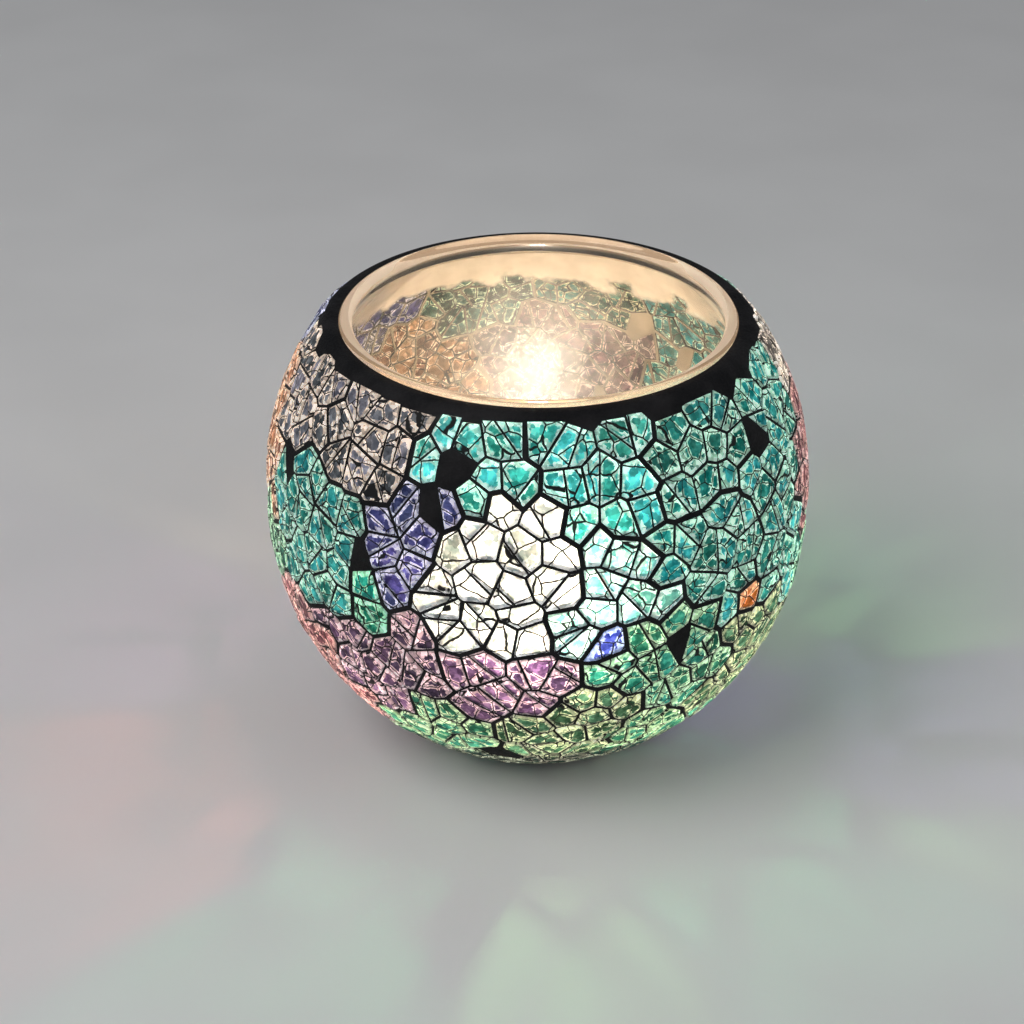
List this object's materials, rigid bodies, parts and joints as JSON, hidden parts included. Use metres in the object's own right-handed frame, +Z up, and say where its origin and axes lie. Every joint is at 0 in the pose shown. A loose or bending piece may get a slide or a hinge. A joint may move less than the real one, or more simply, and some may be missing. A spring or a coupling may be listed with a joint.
{
  "type": "tealight holder",
  "caption": "Globe-shaped glass tealight bowl covered in patches of crackled coloured glass set in black grout, with a tealight that lifts out.",
  "frame": {"origin": "centre of the foot's underside, on the surface that the bowl stands on", "axes": "+Z up along the bowl's axis, out of the mouth; -Y is the front"},
  "size_m": [0.1005, 0.1006, 0.083],
  "materials": {
    "clear_glass": "fire-polished blown glass",
    "adhesive": "dried clear-cream adhesive",
    "grout": "sponged black grout",
    "lilac_glass": "crackled sheet glass, glossy face and bright broken edges",
    "teal_glass": "crackled sheet glass, glossy face and bright broken edges",
    "emerald_glass": "crackled sheet glass, glossy face and bright broken edges",
    "indigo_glass": "crackled sheet glass, glossy face and bright broken edges",
    "turquoise_glass": "crackled sheet glass, glossy face and bright broken edges",
    "ice_glass": "crackled sheet glass, glossy face and bright broken edges",
    "aqua_glass": "crackled sheet glass, glossy face and bright broken edges",
    "mauve_glass": "crackled sheet glass, glossy face and bright broken edges",
    "cobalt_glass": "crackled sheet glass, glossy face and bright broken edges",
    "amber_glass": "crackled sheet glass, glossy face and bright broken edges",
    "sea_green_glass": "crackled sheet glass, glossy face and bright broken edges",
    "olive_glass": "crackled sheet glass, glossy face and bright broken edges",
    "fern_glass": "crackled sheet glass, glossy face and bright broken edges",
    "rose_glass": "crackled sheet glass, glossy face and bright broken edges",
    "pearl_glass": "crackled sheet glass, glossy face and bright broken edges",
    "peach_glass": "crackled sheet glass, glossy face and bright broken edges",
    "fir_glass": "crackled sheet glass, glossy face and bright broken edges",
    "aluminium": "drawn foil, bright",
    "wax": "paraffin wax with a melt pool",
    "steel": "tinned steel",
    "cotton": "braided cotton, charred at the tip"
  },
  "bodies": {
    "holder": {"glass_bowl": "clear_glass", "adhesive_coat": "adhesive", "black_grout": "grout", "lilac_patch_1": "lilac_glass", "lilac_patch_2": "lilac_glass", "teal_patch_1": "teal_glass", "emerald_patch": "emerald_glass", "indigo_patch_1": "indigo_glass", "turquoise_patch_1": "turquoise_glass", "turquoise_patch_2": "turquoise_glass", "ice_patch": "ice_glass", "aqua_patch": "aqua_glass", "mauve_patch_1": "mauve_glass", "mauve_patch_2": "mauve_glass", "cobalt_patch": "cobalt_glass", "teal_patch_2": "teal_glass", "teal_patch_3": "teal_glass", "teal_patch_4": "teal_glass", "teal_patch_5": "teal_glass", "amber_patch": "amber_glass", "sea_green_patch": "sea_green_glass", "olive_patch_1": "olive_glass", "fern_patch_1": "fern_glass", "olive_patch_2": "olive_glass", "fern_patch_2": "fern_glass", "rose_patch_1": "rose_glass", "pearl_patch_1": "pearl_glass", "rose_patch_2": "rose_glass", "peach_patch_1": "peach_glass", "fir_patch_1": "fir_glass", "indigo_patch_2": "indigo_glass", "mauve_patch_3": "mauve_glass", "fir_patch_2": "fir_glass", "peach_patch_2": "peach_glass", "pearl_patch_2": "pearl_glass", "fern_patch_3": "fern_glass", "rose_patch_3": "rose_glass", "sea_green_patch_2": "sea_green_glass", "teal_patch_7": "teal_glass", "teal_patch_6": "teal_glass", "olive_patch_3": "olive_glass", "fir_patch_3": "fir_glass", "indigo_patch_3": "indigo_glass"},
    "tealight": {"tealight_cup": "aluminium", "wax_puck": "wax", "wick_tab": "steel", "wick": "cotton"}
  },
  "joints": [
    {"name": "tealight_lift", "type": "slide", "parent": "holder", "child": "tealight", "axis": [0, 0, 1], "range_m": [0, 0.1]}
  ]
}
